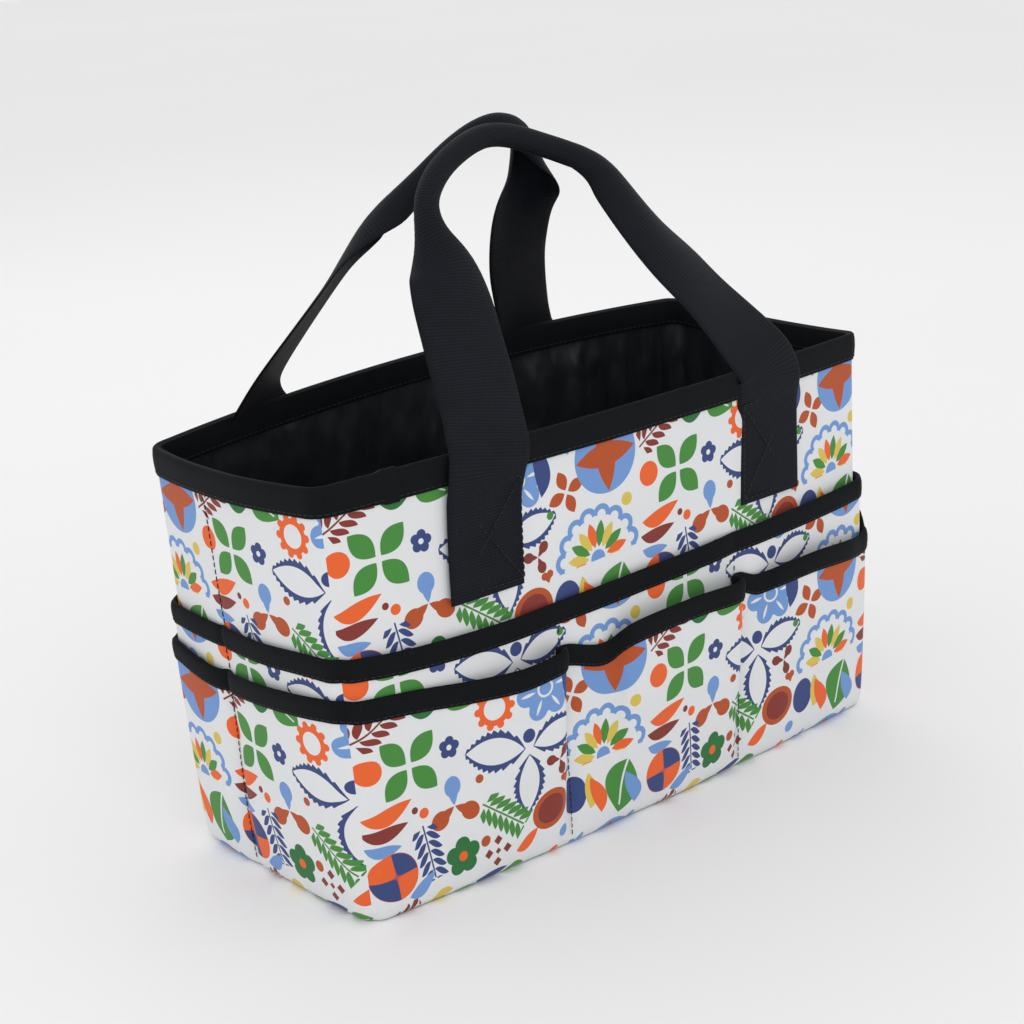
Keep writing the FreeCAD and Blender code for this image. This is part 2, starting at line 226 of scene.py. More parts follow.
def loft(name, rings, flat, material, loop=False, sharp=50):
    """A closed mesh through rings (n, k, 3); flat (n, k or k + 1, 2) is where each point lay in the flat."""
    n, k = rings.shape[:2]
    if flat.shape[1] == k:
        flat = np.concatenate([flat, flat[:, :1]], 1)
    steps = n if loop else n - 1
    i, j = np.meshgrid(np.arange(steps), np.arange(k), indexing="ij")
    ahead = (i + 1) % n
    beside = (j + 1) % k
    quads = np.stack([i * k + j, ahead * k + j, ahead * k + beside, i * k + beside], -1).reshape(-1, 4)
    marks = np.stack([flat[i, j], flat[ahead, j], flat[ahead, j + 1], flat[i, j + 1]], -2).reshape(-1, 4, 2)
    if not loop:
        half = k // 2
        a = np.arange(half - 1)
        cap = np.stack([a, a + 1, k - 2 - a, k - 1 - a], -1)
        corners = flat[0][np.minimum(cap, k)]
        quads = np.concatenate([quads, cap, (cap + (n - 1) * k)[:, ::-1]])
        marks = np.concatenate([marks, corners, flat[-1][cap][:, ::-1]])
    mesh = bpy.data.meshes.new(name)
    mesh.from_pydata(rings.reshape(-1, 3).tolist(), [], quads.tolist())
    layer = mesh.uv_layers.new(name="cloth")
    layer.data.foreach_set("uv", marks.astype(np.float32).ravel())
    mesh.polygons.foreach_set("use_smooth", [True] * len(mesh.polygons))
    mesh.materials.append(material)
    mesh.update()
    mesh.set_sharp_from_angle(angle=math.radians(sharp))
    return add_object(name, mesh)


def normals_of(points, higher):
    """Outward normals of a grid of points, given the same grid a little higher up the cloth."""
    along = np.gradient(points, axis=0)
    return unit(np.cross(along, higher - points))


def skin(outer, inner):
    """Rings that go up the outer face and down the inner one."""
    return np.concatenate([outer, inner[:, ::-1]], 1)


def finish_piece(piece, body, nodes=()):
    if nodes:
        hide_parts(*nodes)
    if body:
        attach(piece, body)
    return piece


# ---------------------------------------------------------------- materials

class Wire:
    """One socket of a material's nodes, which takes part in arithmetic."""

    def __init__(self, tree, socket):
        self.tree = tree
        self.socket = socket

    def make(self, kind, settings, sockets, out=0):
        """A new node's socket: the node's settings are made first, then its socket values and links."""
        node = self.tree.nodes.new(kind)
        for name, value in settings.items():
            if name == "stops":
                fill_ramp(node.color_ramp, value)
            else:
                setattr(node, name, value)
        for key, value in sockets.items():
            if isinstance(value, Wire):
                self.tree.links.new(value.socket, node.inputs[key])
            else:
                node.inputs[key].default_value = value
        return Wire(self.tree, node.outputs[out])

    def math(self, operation, *others, clamp=False):
        settings = {"operation": operation, "use_clamp": clamp}
        return self.make("ShaderNodeMath", settings, dict(enumerate((self, *others))))

    def vector(self, operation, *others, out=0):
        settings = {"operation": operation}
        return self.make("ShaderNodeVectorMath", settings, dict(enumerate((self, *others))), out)

    def __add__(self, other):
        return self.math("ADD", other)

    def __radd__(self, other):
        return self.math("ADD", other)

    def __sub__(self, other):
        return self.math("SUBTRACT", other)

    def __rsub__(self, other):
        return self.math("MULTIPLY_ADD", -1, other)

    def __mul__(self, other):
        return self.math("MULTIPLY", other)

    def __rmul__(self, other):
        return self.math("MULTIPLY", other)

    def __abs__(self):
        return self.math("ABSOLUTE")

    def least(self, other):
        return self.math("MINIMUM", other)

    def most(self, other):
        return self.math("MAXIMUM", other)

    def step(self, soft):
        """1 where this is above zero, 0 where it is below, over a soft edge."""
        return self.math("MULTIPLY_ADD", 1 / soft, 0.5, clamp=True)

    def parts(self):
        """The x and y of this vector."""
        x = self.make("ShaderNodeSeparateXYZ", {}, {0: self})
        return x, Wire(self.tree, x.socket.node.outputs[1])


def lay(under, mask, colour):
    """One colour laid over another where the mask is 1, and mixed with it where the mask is between."""
    return mask.make("ShaderNodeMix", {"data_type": "RGBA"}, {0: mask, 6: under, 7: colour}, 2)


def joined(x, y, z=0.0):
    return x.make("ShaderNodeCombineXYZ", {}, {0: x, 1: y, 2: z})


def spot(x, y, radius):
    """Above zero inside a round spot at the origin of x and y."""
    return radius - joined(x, y).vector("LENGTH", out=1)


def fill_ramp(ramp, stops):
    while len(ramp.elements) > len(stops):
        ramp.elements.remove(ramp.elements[-1])
    while len(ramp.elements) < len(stops):
        ramp.elements.new(1)
    for element, (place, level) in zip(ramp.elements, stops):
        element.position = place
        element.color = (level, level, level, 1)


def paint(red, green, blue):
    """A colour given as 0 to 255 on a screen, as the shader's linear colour."""
    parts = (c / 255 / 12.92 if c < 10 else ((c / 255 + 0.055) / 1.055) ** 2.4 for c in (red, green, blue))
    return (*parts, 1)


def start_material(name):
    material = bpy.data.materials.new(name)
    material.use_nodes = True
    tree = material.node_tree
    tree.nodes.clear()
    output = tree.nodes.new("ShaderNodeOutputMaterial")
    shader = tree.nodes.new("ShaderNodeBsdfPrincipled")
    tree.links.new(shader.outputs[0], output.inputs["Surface"])
    place = tree.nodes.new("ShaderNodeUVMap")
    place.uv_map = "cloth"
    return material, shader, Wire(tree, place.outputs[0])


def connect(shader, **sockets):
    for name, value in sockets.items():
        key = name.replace("_", " ")
        if isinstance(value, Wire):
            value.tree.links.new(value.socket, shader.inputs[key])
        else:
            shader.inputs[key].default_value = value


def cloudy(place, size, detail=2.0, seed=0.0):
    """Uneven cloud, 0 to 1, with lumps about size metres across."""
    moved = place.vector("ADD", (seed, seed * 1.7, 0))
    return place.make("ShaderNodeTexNoise", {}, {"Vector": moved, "Scale": 1 / size, "Detail": detail})


def wave(run, pitch):
    """A sine wave between -1 and 1 that repeats every pitch metres."""
    return (run * (2 * math.pi / pitch)).math("SINE")


def threads(place, pitch_along, pitch_across):
    """A plain weave's height, 0 to 1, from crossing threads of these pitches."""
    along, across = place.parts()
    return wave(along, pitch_along) * wave(across, pitch_across) * 0.5 + 0.5


# ---------------------------------------------------------------- the printed cloth

GROUND = paint(231, 233, 234)
GREEN = paint(72, 142, 62)
DEEP_GREEN = paint(44, 116, 60)
ORANGE = paint(240, 104, 48)
RUST = paint(186, 84, 42)
BRICK = paint(136, 56, 48)
SKY = paint(116, 156, 214)
NAVY = paint(58, 74, 128)
YELLOW = paint(222, 196, 88)

REPEAT_WIDE = 160.0
REPEAT_TALL = 96.0
EDGE = 0.16           # how soft a printed edge is, in millimetres


class Motif:
    """A place in the print with its own axes: x and y in units of the motif's size."""

    def __init__(self, field, x, y, size, turn=0.0, squash=1.0):
        sockets = {"Vector": field, "Location": (x, y, 0), "Rotation": (0, 0, math.radians(turn)),
                   "Scale": (size, size * squash, 1)}
        self.place = field.make("ShaderNodeMapping", {"vector_type": "TEXTURE"}, sockets)
        self.soft = EDGE / size
        self.x, self.y = self.place.parts()

    def away(self):
        return self.place.vector("LENGTH", out=1)

    def folded(self, count, start=0.0):
        """(x, y) folded into one of count equal slices round the middle, x pointing out along it."""
        slice_half = math.pi / count
        bearing = (self.y.math("ARCTAN2", self.x) + start).math("WRAP", slice_half, -slice_half)
        away = self.away()
        return away * bearing.math("COSINE"), away * bearing.math("SINE")

    def mask(self, inside):
        return inside.step(self.soft)


def lens(x, y, start, end, wide):
    """Above zero inside a pointed petal that runs along x."""
    u = x.math("MULTIPLY_ADD", 2 / (end - start), -(start + end) / (end - start))
    return (1 - u * u) * wide - abs(y)


def petals(motif, count, start, end, wide, spin=0.0):
    x, y = motif.folded(count, math.radians(spin))
    return motif.mask(lens(x, y, start, end, wide))


def disc(motif, radius=1.0):
    return motif.mask(radius - motif.away())


def print_bloom(cloth, motif, colour, count=4):
    return lay(cloth, petals(motif, count, 0.1, 1.0, 0.27), colour)


def print_dot(cloth, motif, colour):
    return lay(cloth, disc(motif), colour)


def print_ring_egg(cloth, motif, rim, heart):
    cloth = lay(cloth, disc(motif), rim)
    return lay(cloth, disc(motif, 0.72), heart)


def print_trefoil(cloth, motif, colour, odd):
    fx, fy = motif.folded(3)
    drop = spot(fx - 0.64, fy * 1.15, 0.34)
    neck = lens(fx, fy, 0.02, 1.0, 0.17)
    shape = motif.mask(drop.most(neck))
    return lay(cloth, shape, lay(colour, motif.mask(motif.x), odd))


def print_rosette(cloth, motif, colour, light):
    fx, fy = motif.folded(6)
    away = motif.away()
    lobes = spot(fx - 0.64, fy, 0.33)
    cloth = lay(cloth, motif.mask(lobes.most(0.72 - away)), colour)
    rays = lens(fx, fy, 0.34, 0.84, 0.05)
    cloth = lay(cloth, motif.mask(rays.most(0.035 - abs(away - 0.24))), light)
    return cloth


def print_small_flower(cloth, motif, colour, heart):
    fx, fy = motif.folded(5)
    lobes = spot(fx - 0.56, fy, 0.42)
    cloth = lay(cloth, motif.mask(lobes), colour)
    return lay(cloth, disc(motif, 0.24), heart)


def print_sun_ring(cloth, motif, colour):
    fx, fy = motif.folded(10)
    teeth = spot(fx - 0.8, fy, 0.17)
    ring = 0.13 - abs(motif.away() - 0.64)
    return lay(cloth, motif.mask(teeth.most(ring)), colour)


def print_toothed_leaf(cloth, motif, colour):
    """A long leaf drawn as a line with small teeth, pointing along x."""
    u = motif.x.math("MULTIPLY_ADD", 2.0, -1.0)
    body = (1 - u * u) * 0.27
    tooth = (motif.x - abs(motif.y) * 0.6).math("PINGPONG", 0.055) * 0.9
    rim = body + tooth - abs(motif.y)
    inner = abs(motif.y) - body * 0.78 + 0.015
    within = 0.5 - abs(motif.x - 0.5)
    return lay(cloth, motif.mask(rim.least(inner).least(within)), colour)


def print_sprig(cloth, motif, colour, count=5, wide=0.075):
    """A stem along x with leaves in pairs that lean towards its tip."""
    reach = abs(motif.y)
    pitch = 0.9 / count
    along = motif.x - reach * 0.75
    nearest = (along - 0.08).math("WRAP", pitch / 2, -pitch / 2)
    u = reach.math("MULTIPLY_ADD", 2 / 0.26, -1.15)
    leaf = (1 - u * u) * wide - abs(nearest)
    leaf = leaf.least(motif.x).least(1.02 - motif.x)
    stem = (0.016 - reach).least(motif.x + 0.06).least(0.98 - motif.x)
    return lay(cloth, motif.mask(leaf.most(stem)), colour)


def print_split_leaf(cloth, motif, colour, wide=0.3):
    bowed = motif.y - motif.x * motif.x * 0.22
    shape = lens(motif.x, bowed, 0.0, 1.0, wide)
    vein = abs(bowed) - 0.022
    return lay(cloth, motif.mask(shape.least(vein.most(motif.x - 0.86))), colour)


def print_stroke(cloth, motif, colour, wide=0.16):
    bowed = motif.y - motif.x * motif.x * 0.45
    return lay(cloth, motif.mask(lens(motif.x, bowed, 0.0, 1.0, wide)), colour)


def print_star_disc(cloth, motif, colour, star):
    cloth = lay(cloth, disc(motif), colour)
    fx, fy = motif.folded(4)
    return lay(cloth, motif.mask(lens(fx, fy, -0.96, 0.96, 0.31)), star)


def print_half_fan(cloth, motif):
    """A half round fan of slender petals under scalloped arcs."""
    fx, fy = motif.folded(16, math.pi / 16)
    upper = motif.y + 0.02
    blade = (motif.y.math("ARCTAN2", motif.x) * (8 / math.pi)).math("FLOOR")
    hue = (blade * 2.39).math("SINE")
    petal = motif.mask(lens(fx, fy, 0.22, 0.72, 0.1).least(upper))
    first = lay(ORANGE, (hue - 0.1).step(0.01), GREEN)
    first = lay(first, (-0.55 - hue).step(0.01), YELLOW)
    cloth = lay(cloth, petal, first)
    scallops = (0.052 - abs(spot(fx - 0.82, fy, 0.15))).least(fx - 0.8)
    cloth = lay(cloth, motif.mask(scallops.least(upper)), SKY)
    return lay(cloth, motif.mask((0.17 - motif.away()).least(upper)), SKY)


def print_pinwheel(cloth, motif, colour, other):
    cloth = lay(cloth, disc(motif), colour)
    return lay(cloth, motif.mask((0.98 - motif.away()).least(motif.x * motif.y)), other)


def print_heart(cloth, motif, colour):
    side = abs(motif.x)
    lobes = spot(side - 0.42, motif.y - 0.25, 0.5)
    point = (0.98 - side * 1.25 + motif.y * 0.95 - 0.2).least(0.3 - motif.y)
    return lay(cloth, motif.mask(lobes.most(point)), colour)


def print_diamonds(cloth, motif, colour):
    """Four little diamonds round a middle one."""
    fx, fy = motif.folded(4)
    outer = 0.3 - abs(fx - 0.66) - abs(fy)
    inner = 0.2 - abs(motif.x) - abs(motif.y)
    return lay(cloth, motif.mask(outer.most(inner)), colour)


# The print from the bottom up: a motif, its (x, y, size, turn, squash) in millimetres and degrees, its look.
PRINT_MOTIFS = [
    (print_stroke, (2, 41.5, 21, -12), ORANGE, 0.2), (print_stroke, (1, 35, 19, -20), BRICK, 0.19),
    (print_stroke, (2, 28.5, 14, -30), SKY, 0.22), (print_bloom, (25, 61, 18, 45), GREEN),
    (print_dot, (6.6, 63, 5.6), ORANGE), (print_trefoil, (45.5, 36.5, 14, 92), RUST, SKY),
    (print_small_flower, (45, 63.5, 5.2, 10), NAVY, GROUND), (print_dot, (30, 38, 2.4), ORANGE),
    (print_dot, (25.5, 40.5, 1.6), BRICK), (print_toothed_leaf, (83, 52, 31, 169), NAVY),
    (print_toothed_leaf, (87, 52, 27, 13), NAVY), (print_toothed_leaf, (85, 49, 28, -90), NAVY),
    (print_dot, (85, 57.5, 3.2), NAVY), (print_rosette, (94, 77, 15.2, 8), SKY, GROUND),
    (print_stroke, (106, 67, 24, 72), NAVY, 0.19), (print_sun_ring, (68.5, 74.5, 10.2), ORANGE),
    (print_split_leaf, (45, 91, 19, -44), GREEN, 0.4), (print_bloom, (119.5, 66, 10.5, 22), RUST),
    (print_dot, (110, 58, 1.8), GREEN), (print_star_disc, (142, 77.5, 17.2, 4), SKY, RUST),
    (print_half_fan, (135.6, 32, 24, 3)), (print_trefoil, (102, 41.5, 8, -70), BRICK, BRICK),
    (print_sprig, (61, 32, 27, -36), GREEN, 6), (print_sprig, (3, 77, 27, 32), BRICK, 5),
    (print_ring_egg, (98, 19, 10.6, 20, 0.88), RUST, BRICK), (print_dot, (117, 18, 7.4, 0, 1.2), NAVY),
    (print_split_leaf, (150, 27, 26, -114), GREEN, 0.42),
    (print_split_leaf, (27, 85, 17, -3), DEEP_GREEN, 0.34), (print_stroke, (57, 92.5, 16, -18), NAVY, 0.2),
    (print_stroke, (43, 94, 13, 178), YELLOW, 0.24), (print_pinwheel, (13, 13.5, 11.2, 8), ORANGE, NAVY),
    (print_sprig, (29, 31, 25, -80), NAVY, 5),
    (print_small_flower, (48.5, 12, 9.4, 20), DEEP_GREEN, ORANGE), (print_dot, (61, 15, 2.6), RUST),
    (print_heart, (106.5, 31.5, 3.6, 10), RUST), (print_bloom, (119.5, 88.5, 6.6, 0), SKY, 5),
    (print_split_leaf, (73, 90, 12, -2), GREEN, 0.36), (print_diamonds, (68, 8, 8, 0), BRICK),
    (print_stroke, (79, 4, 13, 10), ORANGE, 0.26), (print_stroke, (155, 3, 17, 86), SKY, 0.28),
    (print_stroke, (126, 9, 16, 66), YELLOW, 0.28), (print_stroke, (133, 5, 18, 84), ORANGE, 0.26),
    (print_dot, (153, 55, 3), YELLOW), (print_dot, (108, 4.5, 3), SKY),
    (print_stroke, (19, 1.8, 15, 6), SKY, 0.24), (print_dot, (59, 45, 2), RUST),
    (print_dot, (104, 92, 2.2), ORANGE), (print_dot, (155, 92, 2.4), SKY),
]


def lay_print(cloth, field):
    """The whole repeat, laid down motif by motif."""
    for draw, place, *look in PRINT_MOTIFS:
        cloth = draw(cloth, Motif(field, *place), *look)
    return cloth


def printed_cloth():
    material, shader, place = start_material("printed_cloth")
    millimetres = place.vector("MULTIPLY", (1 / MM, 1 / MM, 1))
    field = millimetres.vector("WRAP", (REPEAT_WIDE, REPEAT_TALL, 1), (0, 0, 0))
    cloth = lay_print(GROUND, field)
    weave = threads(place, 0.9 * MM, 0.8 * MM)
    fade = cloudy(place, 35 * MM, 3.0, 2.0)
    shade = weave * 0.07 + fade * 0.08 + 0.875
    cloth = cloth.vector("MULTIPLY", joined(shade, shade, shade))
    connect(shader, Base_Color=cloth, Roughness=fade * 0.12 + 0.66, Normal=raised(weave, 0.25, 0.12 * MM),
            Sheen_Weight=0.08, Sheen_Roughness=0.5, Specular_IOR_Level=0.25)
    return material


def raised(height, strength, distance):
    return height.make("ShaderNodeBump", {}, {"Height": height, "Strength": strength, "Distance": distance})


# ---------------------------------------------------------------- the plain materials

def lining_cloth():
    material, shader, place = start_material("lining_cloth")
    weave = threads(place, 0.5 * MM, 0.45 * MM)
    cloud = cloudy(place, 22 * MM, 3.0, 4.0)
    creases = cloudy(place.vector("MULTIPLY", (2.2, 1, 1)), 42 * MM, 2.0, 3.0)
    colour = lay(paint(14, 16, 18), cloud * 0.8 + weave * 0.2, paint(32, 35, 41))
    relief = creases * (5 * MM) + weave * (0.01 * MM)
    connect(shader, Base_Color=colour, Roughness=cloud * 0.14 + 0.32, Normal=raised(relief, 1.0, 1.0),
            Sheen_Weight=0.03, Sheen_Roughness=0.35, Specular_IOR_Level=0.45)
    return material


def ribs_along(place, pitch):
    """Height of close round ribs that lie across a band, 0 to 1."""
    along, across = place.parts()
    wander = cloudy(place, 6 * MM, 1.0, 1.0) * (0.5 * MM)
    return wave(along + wander, pitch) * 0.5 + 0.5, across


def binding_tape():
    material, shader, place = start_material("binding_tape")
    ribs, across = ribs_along(place, 0.95 * MM)
    yarns = wave(across, 0.45 * MM) * 0.5 + 0.5
    height = ribs * 0.75 + yarns * 0.25
    cloud = cloudy(place, 15 * MM, 3.0, 6.0)
    lint = (cloudy(place, 0.7 * MM, 2.0, 9.0) - 0.72).step(0.04)
    colour = lay(paint(8, 9, 11), height * 0.5 + cloud * 0.5, paint(24, 26, 29))
    colour = lay(colour, lint * 0.5, paint(46, 48, 53))
    connect(shader, Base_Color=colour, Roughness=cloud * 0.15 + 0.68, Normal=raised(height, 0.5, 0.16 * MM),
            Sheen_Weight=0.03, Sheen_Roughness=0.4, Specular_IOR_Level=0.08)
    return material


def handle_webbing():
    material, shader, place = start_material("handle_webbing")
    ribs, across = ribs_along(place, 1.35 * MM)
    columns = wave(across, 2.6 * MM) * 0.5 + 0.5
    fine = wave(across, 0.7 * MM) * 0.5 + 0.5
    selvedge = (abs(across) - (WEBBING_WIDE / 2 - 1.6 * MM)).step(0.5 * MM)
    height = ribs * (1 - selvedge * 0.7) * 0.7 + columns * 0.12 + fine * 0.18
    cloud = cloudy(place, 18 * MM, 3.0, 3.0)
    colour = lay(paint(8, 9, 12), height * 0.55 + cloud * 0.45, paint(31, 34, 42))
    lint = (cloudy(place, 0.6 * MM, 2.0, 7.0) - 0.73).step(0.04)
    colour = lay(colour, lint * 0.5, paint(58, 60, 68))
    connect(shader, Base_Color=colour, Roughness=cloud * 0.16 + 0.58, Normal=raised(height, 0.7, 0.28 * MM),
            Sheen_Weight=0.03, Sheen_Roughness=0.4, Specular_IOR_Level=0.1)
    return material


def sewing_thread():
    material, shader, place = start_material("black_thread")
    along, across = place.parts()
    twist = wave(along + across * 1.2, 0.45 * MM) * 0.5 + 0.5
    colour = lay(paint(9, 10, 11), twist, paint(27, 28, 31))
    connect(shader, Base_Color=colour, Roughness=twist * 0.1 + 0.42, Normal=raised(twist, 0.5, 0.06 * MM),
            Specular_IOR_Level=0.35)
    return material


def board_plastic():
    material, shader, place = start_material("stiffening_board")
    peel = cloudy(place, 1.6 * MM, 3.0, 5.0)
    scuffs = (cloudy(place, 30 * MM, 5.0, 8.0) - 0.55).step(0.2)
    colour = lay(paint(44, 45, 48), peel * 0.5 + scuffs * 0.5, paint(70, 71, 75))
    connect(shader, Base_Color=colour, Roughness=peel * 0.2 + 0.4, Normal=raised(peel, 0.3, 0.1 * MM))
    return material


def grip_foam():
    material, shader, place = start_material("grip_foam")
    cells = place.make("ShaderNodeTexVoronoi", {}, {"Vector": place, "Scale": 1 / (0.9 * MM)})
    cloud = cloudy(place, 8 * MM, 2.0, 2.0)
    colour = lay(paint(24, 25, 27), cells * 0.6 + cloud * 0.4, paint(60, 61, 64))
    connect(shader, Base_Color=colour, Roughness=cloud * 0.1 + 0.85, Normal=raised(cells, 0.5, 0.2 * MM))
    return material


def studio_paper():
    material, shader, place = start_material("studio_paper")
    grain = cloudy(place, 0.05, 4.0, 1.0)
    connect(shader, Base_Color=lay(paint(244, 244, 245), grain, paint(249, 249, 250)), Roughness=0.9)
    return material


PRINT = printed_cloth()
LINING = lining_cloth()
TAPE = binding_tape()
WEBBING = handle_webbing()
THREAD = sewing_thread()
BOARD = board_plastic()
FOAM = grip_foam()


# ---------------------------------------------------------------- walls, lining, floor

LINING_OUT = -(CLOTH + 0.5 * MM)
LINING_THICK = 0.5 * MM


def across_steps(side, step, ends=0.0):
    count = int(round(2 * RUN[side] / step)) + 1
    return np.linspace(-RUN[side] + ends, RUN[side] - ends, count)


PRINT_SHIFT = {"front": 0.0, "right": 147 * MM, "back": 3 * MM, "left": 23 * MM}


def make_wall(side):
    across = across_steps(side, 3 * MM)
    z = np.concatenate([np.linspace(0.4, 8, 8), np.linspace(10, RIM / MM - 1.2, 62)]) * MM
    s, h = np.meshgrid(across, z, indexing="ij")
    node = side + "_panel" if side in ("front", "back") else side + "_side_panel"
    rings = skin(wall(side, s, h, 0.0), wall(side, s, h, -CLOTH))
    flat = np.stack([s + PRINT_SHIFT[side], h], -1)
    piece = loft(node + "_cloth", rings, skin(flat, flat), PRINT)
    finish_piece(piece, "bag", [node])
    2 * RUN[side]


def make_lining(side, hang):
    across = across_steps(side, 3 * MM)
    z = np.linspace(FLOOR_LINING[1].z, RIM - 1.2 * MM, 64)
    s, h = np.meshgrid(across, z, indexing="ij")
    out = LINING_OUT - hang(side, s, h)
    flat = np.stack([s, h], -1)
    rings = skin(wall(side, s, h, out + LINING_THICK / 2), wall(side, s, h, out - LINING_THICK / 2))
    piece = loft(side + "_lining_cloth", rings, skin(flat, flat), LINING)
    finish_piece(piece, "bag", [side + "_lining"])
    2 * RUN[side]


HANG_ROWS = 30
HANG_STEP = 6 * MM
HANG_FRAMES = 26
HANG_LIMIT = 9 * MM
HANG_SLACK = 1.5 * MM        # how far in from the wall the lining starts
HANG_SETTINGS = {
    "quality": 6, "mass": 0.12, "tension_stiffness": 12, "compression_stiffness": 12, "shear_stiffness": 4,
    "bending_stiffness": 0.25, "shrink_min": -0.08, "vertex_group_mass": "hems"}


def lining_grid(columns, heights):
    """The lining before it hangs, a little in from the walls: points (n, rows, 3)."""
    swell = np.sin(np.linspace(0, math.pi, HANG_ROWS))[None, :]
    parts = []
    for side, s in zip(SIDES, columns):
        uneven = 0.8 * MM * (1 + ripple(s[:, None], heights[None, :], 77, 40 * MM))
        parts.append(wall(side, s[:, None], heights[None, :], LINING_OUT - (HANG_SLACK + uneven) * swell))
    return np.concatenate(parts)


def settled(grid):
    """The grid after it has hung as cloth by its top and bottom hems."""
    n = len(grid)
    i, j = np.meshgrid(np.arange(n), np.arange(HANG_ROWS - 1), indexing="ij")
    here = i * HANG_ROWS + j
    beside = (i + 1) % n * HANG_ROWS + j
    quads = np.stack([here, beside, beside + 1, here + 1], -1)
    mesh = bpy.data.meshes.new("lining_bag")
    mesh.from_pydata(grid.reshape(-1, 3).tolist(), [], quads.reshape(-1, 4).tolist())
    bag = add_object("lining_bag", mesh)
    hems = bag.vertex_groups.new(name="hems")
    held = [c * HANG_ROWS + r for c in range(n) for r in (0, HANG_ROWS - 1)]
    hems.add(held, 1.0, "REPLACE")
    cloth = bag.modifiers.new("hang", "CLOTH")
    for name, value in HANG_SETTINGS.items():
        setattr(cloth.settings, name, value)
    cloth.point_cache.frame_start = 1
    cloth.point_cache.frame_end = HANG_FRAMES
    scene = bpy.context.scene
    for frame_number in range(1, HANG_FRAMES + 1):
        scene.frame_set(frame_number)
    hung = bag.evaluated_get(bpy.context.evaluated_depsgraph_get()).to_mesh()
    found = np.zeros(len(hung.vertices) * 3, np.float32)
    hung.vertices.foreach_get("co", found)
    scene.frame_set(1)
    bpy.data.objects.remove(bag)
    return found.reshape(n, HANG_ROWS, 3).astype(float)


def hung_lining():
    """Hangs a slightly large lining in the bag, and returns a function of how far it stands in."""
    heights = np.linspace(FLOOR_LINING[1].z, RIM - 2 * MM, HANG_ROWS)
    columns = [across_steps(side, HANG_STEP)[:-1] for side in SIDES]
    found = settled(lining_grid(columns, heights))
    n = len(found)
    maps = {}
    first = 0
    for side, s in zip(SIDES, columns):
        rows = np.arange(first, first + len(s) + 1) % n
        first += len(s)
        at = across_steps(side, HANG_STEP)
        out_way = wall(side, at[:, None], heights, 1 * MM) - wall(side, at[:, None], heights, 0.0)
        moved = ((found[rows] - wall(side, at[:, None], heights, LINING_OUT)) * unit(out_way)).sum(-1)
        inwards = HANG_LIMIT * np.tanh(np.clip(-moved, 0, None) / HANG_LIMIT)
        ends = 1 - np.exp(-((RUN[side] - np.abs(at)) / (6 * MM)) ** 2)
        maps[side] = (at, heights, inwards * ends[:, None])

    def hang(side, s, h):
        at, rows, inwards = maps[side]
        u = np.clip((s - at[0]) / (at[-1] - at[0]) * (len(at) - 1), 0, len(at) - 1.001)
        v = np.clip((h - rows[0]) / (rows[-1] - rows[0]) * (len(rows) - 1), 0, len(rows) - 1.001)
        i, j = u.astype(int), v.astype(int)
        p, q = ease(u - i) * 0.5 + (u - i) * 0.5, ease(v - j) * 0.5 + (v - j) * 0.5
        low = mix(inwards[i, j], inwards[i + 1, j], p)
        high = mix(inwards[i, j + 1], inwards[i + 1, j + 1], p)
        free = ease((RIM - TAPE_WIDE - h) / (14 * MM)) * ease((h - FLOOR_LINING[1].z) / (10 * MM))
        return mix(low, high, q) * free

    return hang


def outline(z, out):
    """The whole wall line at one height, as (points, 3), once round without repeating its ends."""
    parts = []
    for side in SIDES:
        s = across_steps(side, 6 * MM)[:-1]
        parts.append(wall(side, s, np.full(len(s), z), out))
    return np.concatenate(parts)


def make_floor(name, node, low, high, out, material, swell=0.0):
    """A flat sheet over the whole base, as rings from its middle to its edge."""
    edge = outline(ROLL_UNDER, out)
    shares = np.concatenate([np.linspace(0.02, 0.94, 16), [0.97, 0.99, 1.0]])
    rings = []
    for face in (high, low):
        walk = shares if face is high else shares[::-1]
        for share in walk:
            ring = edge * [share, share, 0]
            lift = swell * ripple(ring[:, 0], ring[:, 1], 5, 60 * MM) * (1 - share ** 4)
            ring[:, 2] = face + lift
            rings.append(ring)
    rings = np.array(rings).transpose(1, 0, 2)[::-1]
    piece = loft(name, rings, rings[..., :2], material, loop=True)
    finish_piece(piece, "bag", [node])
    return piece


lining_hang = hung_lining()
for side in SIDES:
    make_wall(side)
    make_lining(side, lining_hang)

bottom = make_floor("bottom_cloth", "bottom_panel", 0.0, CLOTH, -2.6 * MM, PRINT)
make_floor("stiffening_board", "base_board", BOARD_LOW.z, BOARD_HIGH.z, -5.2 * MM, BOARD)
floor_lining = make_floor(
    "floor_lining_cloth", "bottom_lining", FLOOR_LINING[0].z, FLOOR_LINING[1].z, -2.2 * MM,
    LINING, 0.25 * MM)

# ---------------------------------------------------------------- tapes

TAPE_THICK = 0.75 * MM


def tape_leg(gap, over):
    """(out, up) of one leg of a folded tape, its outer and its inner face, from the hem up to the fold."""
    t = TAPE_THICK
    ups = (-1, -0.93, -0.78, -0.5, -0.2)
    face = [(gap + share * t, up * over) for share, up in zip((0.8, 1.0, 1.25, 1.5, 1.4), ups)]
    face += [(gap + 0.9 * t, 0.02 * over), (gap * 0.4, 0.02 * over + t)]
    back = [(gap + share * t, up * over) for share, up in zip((0, 0, 0, 0.3, 0.3), ups)]
    back += [(gap, -0.02 * over), (gap * 0.3, 0.02 * over)]
    return np.array(face), np.array(back)


def tape_profile(gap_out, gap_in, over=TAPE_WIDE):
    """(out, up) of a folded tape's two faces; gaps are how far its two legs stand from the middle line."""
    legs = zip(tape_leg(gap_out, over), tape_leg(gap_in, over))
    return [np.concatenate([outer, inner[::-1] * [-1, 1]]) for outer, inner in legs]


